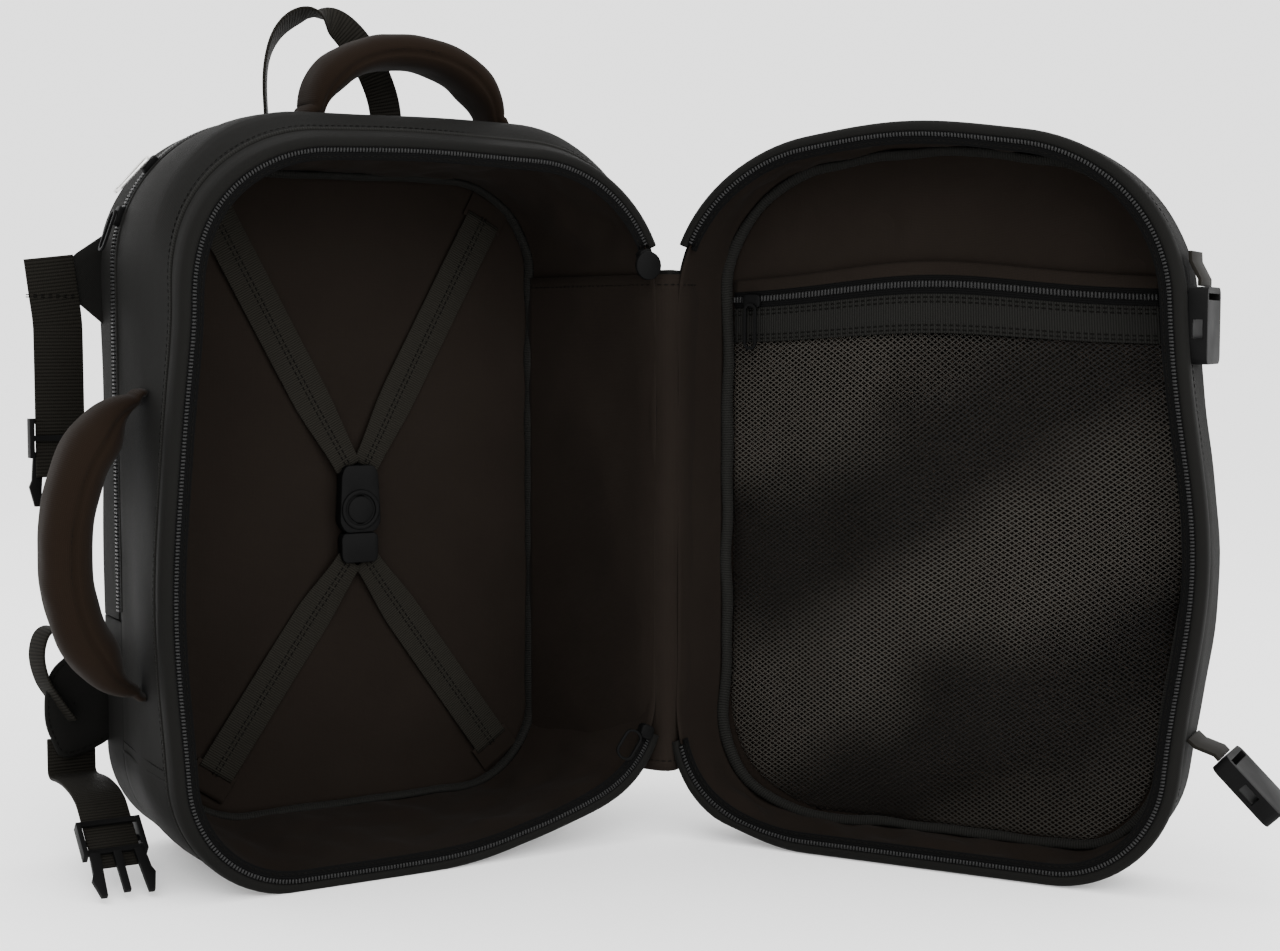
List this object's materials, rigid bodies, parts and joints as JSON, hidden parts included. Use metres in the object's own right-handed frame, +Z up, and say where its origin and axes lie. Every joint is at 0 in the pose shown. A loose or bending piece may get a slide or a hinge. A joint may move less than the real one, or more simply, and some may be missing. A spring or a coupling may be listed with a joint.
{
  "type": "travel backpack",
  "caption": "Clamshell travel backpack standing open: zipped front door on a side hinge with mesh pocket, cross straps inside, grab handles, laptop flap and shoulder straps behind.",
  "frame": {"origin": "centre of the flat base, on the floor", "axes": "+Z up, +X towards the hinge side of the door, +Y towards the back panel that rests on the wearer; the opening faces -Y"},
  "size_m": [0.6186, 0.4953, 0.532],
  "materials": {
    "shell_fabric": "fine charcoal twill",
    "lining_fabric": "plain brown-black polyester lining",
    "pad_fabric": "padded brown-black fabric",
    "webbing": "ribbed webbing",
    "mesh_fabric": "open diamond mesh",
    "zip_tape": "woven zip tape with nylon coil",
    "zip_metal": "black painted",
    "silver_metal": "satin nickel",
    "buckle_plastic": "satin moulded"
  },
  "bodies": {
    "bag": {"left_side_panel": "shell_fabric", "right_side_panel": "shell_fabric", "top_gusset": "shell_fabric", "bottom_gusset": "shell_fabric", "opening_rim": "shell_fabric", "main_zip_shell_tape": "zip_tape", "hinge_fold": "lining_fabric", "main_lining": "lining_fabric", "divider_panel": "lining_fabric", "rear_zip_shell_tape": "zip_tape", "lower_rear_gusset": "shell_fabric", "lower_back_panel": "pad_fabric", "left_lower_webbing": "webbing", "right_lower_webbing": "webbing", "main_slider_top": "zip_metal", "main_slider_foot": "zip_metal", "cross_strap_upper_left": "webbing", "cross_strap_upper_right": "webbing", "cross_strap_lower_left": "webbing", "cross_strap_lower_right": "webbing", "cross_clip_socket": "buckle_plastic"},
    "door": {"door_front_panel": "shell_fabric", "door_free_gusset": "shell_fabric", "door_top_gusset": "shell_fabric", "door_hinge_gusset": "shell_fabric", "door_bottom_gusset": "shell_fabric", "door_rim": "shell_fabric", "main_zip_door_tape": "zip_tape", "mesh_pocket_panel": "mesh_fabric", "mesh_pocket_band": "webbing", "mesh_pocket_zip": "zip_tape", "front_pocket_zip": "zip_tape"},
    "laptop_flap": {"laptop_flap_panel": "pad_fabric", "laptop_flap_gusset": "shell_fabric", "rear_zip_flap_tape": "zip_tape", "left_shoulder_strap": "pad_fabric", "right_shoulder_strap": "pad_fabric", "left_strap_adjuster": "buckle_plastic", "right_strap_adjuster": "buckle_plastic"},
    "top_handle": {"top_handle": "pad_fabric"},
    "side_handle": {"side_handle": "pad_fabric"},
    "hanging_loop": {"hanging_loop": "webbing"},
    "upper_strap": {"upper_compression_strap": "webbing"},
    "upper_male": {"upper_male_buckle": "buckle_plastic"},
    "lower_strap": {"lower_compression_strap": "webbing"},
    "lower_male": {"lower_male_buckle": "buckle_plastic"},
    "upper_female": {"upper_female_webbing": "webbing", "upper_female_buckle": "buckle_plastic"},
    "lower_female": {"lower_female_webbing": "webbing", "lower_female_buckle": "buckle_plastic"},
    "clip_tongue": {"cross_clip_tongue": "buckle_plastic"},
    "clip_button": {"cross_clip_button": "buckle_plastic"},
    "main_puller_top": {"main_puller_top": "zip_metal"},
    "main_puller_foot": {"main_puller_foot": "zip_metal"},
    "rear_slider_upper": {"rear_slider_upper": "zip_metal"},
    "rear_slider_lower": {"rear_slider_lower": "zip_metal"},
    "rear_puller_upper": {"rear_puller_upper": "silver_metal"},
    "rear_puller_lower": {"rear_puller_lower": "zip_metal"},
    "pocket_slider": {"mesh_pocket_slider": "zip_metal"},
    "pocket_puller": {"mesh_pocket_puller": "zip_metal"}
  },
  "joints": [
    {"name": "door_hinge", "type": "hinge", "parent": "bag", "child": "door", "pos_m": [0.16, -0.082, 0.22], "axis": [0, 0, 1], "range_deg": [-122, 35], "deforming": ["hinge_fold"]},
    {"name": "laptop_flap_hinge", "type": "hinge", "parent": "bag", "child": "laptop_flap", "pos_m": [0, 0.082, 0.15], "axis": [-1, 0, 0], "range_deg": [0, 35], "deforming": ["left_lower_webbing", "right_lower_webbing"]},
    {"name": "top_handle_fold", "type": "hinge", "parent": "bag", "child": "top_handle", "pos_m": [0.009, -0.012, 0.4674], "axis": [1, 0, 0], "range_deg": [0, 60]},
    {"name": "side_handle_fold", "type": "hinge", "parent": "bag", "child": "side_handle", "pos_m": [-0.1744, -0.028, 0.203], "axis": [0, 0, 1], "range_deg": [-40, 40]},
    {"name": "hanging_loop_fold", "type": "hinge", "parent": "bag", "child": "hanging_loop", "pos_m": [-0.028, 0.0204, 0.459], "axis": [1, 0, 0], "range_deg": [-14, 0]},
    {"name": "upper_strap_swing", "type": "hinge", "parent": "bag", "child": "upper_strap", "pos_m": [-0.1608, 0.062, 0.37], "axis": [0, 1, 0], "range_deg": [0, 35]},
    {"name": "upper_buckle_slide", "type": "slide", "parent": "upper_strap", "child": "upper_male", "axis": [0, 0, 1], "range_m": [0, 0.06]},
    {"name": "lower_strap_swing", "type": "hinge", "parent": "bag", "child": "lower_strap", "pos_m": [-0.182, 0.0724, 0.052], "axis": [0, 0, 1], "range_deg": [-40, 0]},
    {"name": "lower_buckle_slide", "type": "slide", "parent": "lower_strap", "child": "lower_male", "axis": [0, 0.766, 0.6428], "range_m": [0, 0.008]},
    {"name": "upper_female_swing", "type": "hinge", "parent": "door", "child": "upper_female", "pos_m": [0.35374, -0.33922, 0.3724], "axis": [-0.848, -0.5299, 0], "range_deg": [0, 60]},
    {"name": "lower_female_swing", "type": "hinge", "parent": "door", "child": "lower_female", "pos_m": [0.35374, -0.33922, 0.092], "axis": [-0.848, -0.5299, 0], "range_deg": [-40, 40]},
    {"name": "cross_clip_unclip", "type": "slide", "parent": "bag", "child": "clip_tongue", "axis": [0, 0, -1], "range_m": [0, 0.03], "deforming": ["cross_strap_lower_left", "cross_strap_lower_right"]},
    {"name": "cross_clip_press", "type": "slide", "parent": "bag", "child": "clip_button", "axis": [0, 1, 0], "range_m": [0, 0.001], "stiffness_N_per_m": 400},
    {"name": "main_puller_top_swing", "type": "hinge", "parent": "bag", "child": "main_puller_top", "pos_m": [0.142, -0.0868, 0.377], "axis": [-1, 0, 0], "range_deg": [0, 80]},
    {"name": "main_puller_foot_swing", "type": "hinge", "parent": "bag", "child": "main_puller_foot", "pos_m": [0.1345, -0.0868, 0.0679], "axis": [-0.866, 0, 0.5], "range_deg": [0, 80]},
    {"name": "rear_slider_upper_run", "type": "hinge", "parent": "bag", "child": "rear_slider_upper", "pos_m": [-0.068, 0.036, 0.364], "axis": [0, 1, 0], "range_deg": [-8, 38]},
    {"name": "rear_slider_lower_run", "type": "hinge", "parent": "bag", "child": "rear_slider_lower", "pos_m": [-0.068, 0.036, 0.364], "axis": [0, 1, 0], "range_deg": [-18, 6]},
    {"name": "rear_puller_upper_swing", "type": "hinge", "parent": "rear_slider_upper", "child": "rear_puller_upper", "pos_m": [-0.13748, 0.036, 0.43289], "axis": [0, 1, 0], "range_deg": [0, 70]},
    {"name": "rear_puller_lower_swing", "type": "hinge", "parent": "rear_slider_lower", "child": "rear_puller_lower", "pos_m": [-0.15888, 0.036, 0.40027], "axis": [0, 1, 0], "range_deg": [0, 70]},
    {"name": "pocket_slider_run", "type": "slide", "parent": "door", "child": "pocket_slider", "axis": [0.5299, -0.848, 0], "range_m": [0, 0.24]},
    {"name": "pocket_puller_swing", "type": "hinge", "parent": "pocket_slider", "child": "pocket_puller", "pos_m": [0.21972, -0.08831, 0.345], "axis": [-0.5299, 0.848, 0], "range_deg": [0, 70]}
  ]
}
